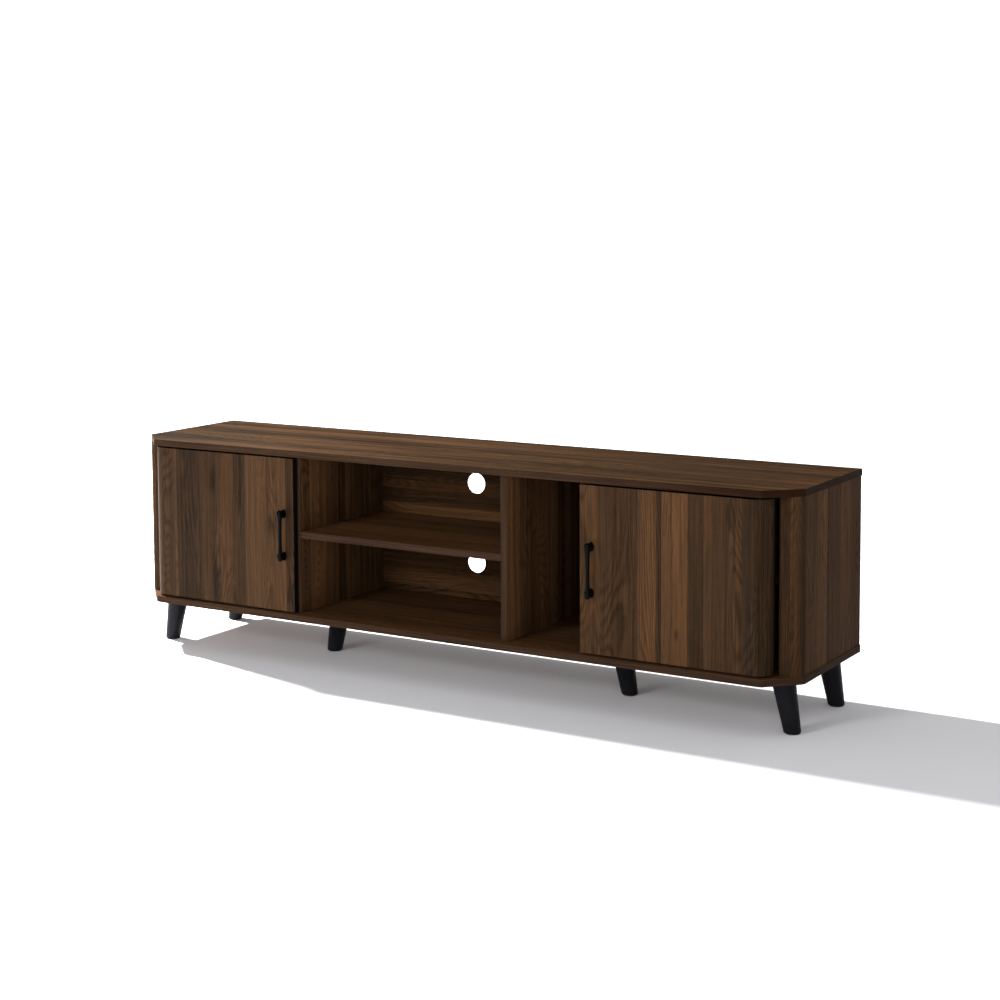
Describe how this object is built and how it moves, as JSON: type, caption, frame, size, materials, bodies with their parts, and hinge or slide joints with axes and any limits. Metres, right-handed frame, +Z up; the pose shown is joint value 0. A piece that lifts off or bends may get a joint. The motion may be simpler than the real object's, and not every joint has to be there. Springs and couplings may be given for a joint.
{
  "type": "tv stand",
  "caption": "low wide television stand with chamfered top, rounded-end hinged side doors, open centre bays with a shelf, bar handles and splayed round legs",
  "frame": {"origin": "centre of the bounding box's bottom face, on the floor between the feet", "axes": "+X along the width to the right seen from the front, -Y to the front where the doors open, +Z up"},
  "size_m": [1.8, 0.42, 0.535],
  "materials": {
    "panel_laminate": "walnut-look laminate with the grain along the length",
    "door_laminate": "walnut-look laminate with upright grain",
    "upright_laminate": "walnut-look laminate with upright grain",
    "shelf_laminate": "walnut-look laminate with the grain along the length",
    "back_board": "thin printed board with grain along the length",
    "leg_black": "black with a soft sheen",
    "leg_plate": "black coated disc",
    "handle_black": "glossy black coating",
    "screw_steel": "zinc-plated",
    "pin_steel": "zinc-plated",
    "bracket_steel": "zinc-plated",
    "strike_steel": "zinc-plated",
    "bush_nylon": "grey nylon",
    "catch_black": "dark brown plastic"
  },
  "bodies": {
    "carcass": {"back_panel": "back_board", "bottom_panel": "panel_laminate", "centre_shelf": "shelf_laminate", "left_cupboard_shelf": "shelf_laminate", "left_divider": "upright_laminate", "left_front_leg": "leg_black", "left_front_leg_plate": "leg_plate", "left_front_post": "upright_laminate", "left_inner_front_shelf_pin": "pin_steel", "left_inner_rear_shelf_pin": "pin_steel", "left_lower_pivot_bracket": "bracket_steel", "left_magnetic_catch": "catch_black", "left_middle_leg": "leg_black", "left_middle_leg_plate": "leg_plate", "left_outer_front_shelf_pin": "pin_steel", "left_outer_rear_shelf_pin": "pin_steel", "left_rear_leg": "leg_black", "left_rear_leg_plate": "leg_plate", "left_side_panel": "upright_laminate", "left_upper_pivot_bracket": "bracket_steel", "middle_divider": "upright_laminate", "right_cupboard_shelf": "shelf_laminate", "right_divider": "upright_laminate", "right_front_leg": "leg_black", "right_front_leg_plate": "leg_plate", "right_front_post": "upright_laminate", "right_inner_front_shelf_pin": "pin_steel", "right_inner_rear_shelf_pin": "pin_steel", "right_lower_pivot_bracket": "bracket_steel", "right_magnetic_catch": "catch_black", "right_middle_leg": "leg_black", "right_middle_leg_plate": "leg_plate", "right_outer_front_shelf_pin": "pin_steel", "right_outer_rear_shelf_pin": "pin_steel", "right_rear_leg": "leg_black", "right_rear_leg_plate": "leg_plate", "right_side_panel": "upright_laminate", "right_upper_pivot_bracket": "bracket_steel", "top_panel": "panel_laminate"},
    "left_door": {"left_door": "door_laminate", "left_handle": "handle_black", "left_handle_lower_screw": "screw_steel", "left_handle_upper_screw": "screw_steel", "left_lower_door_bush": "bush_nylon", "left_strike_plate": "strike_steel", "left_upper_door_bush": "bush_nylon"},
    "right_door": {"right_door": "door_laminate", "right_handle": "handle_black", "right_handle_lower_screw": "screw_steel", "right_handle_upper_screw": "screw_steel", "right_lower_door_bush": "bush_nylon", "right_strike_plate": "strike_steel", "right_upper_door_bush": "bush_nylon"}
  },
  "joints": [
    {"name": "left_door_hinge", "type": "hinge", "parent": "carcass", "child": "left_door", "pos_m": [-0.807, -0.15, 0.326], "axis": [0, 0, -1], "range_deg": [0, 110]},
    {"name": "right_door_hinge", "type": "hinge", "parent": "carcass", "child": "right_door", "pos_m": [0.807, -0.15, 0.326], "axis": [0, 0, 1], "range_deg": [0, 110]}
  ]
}
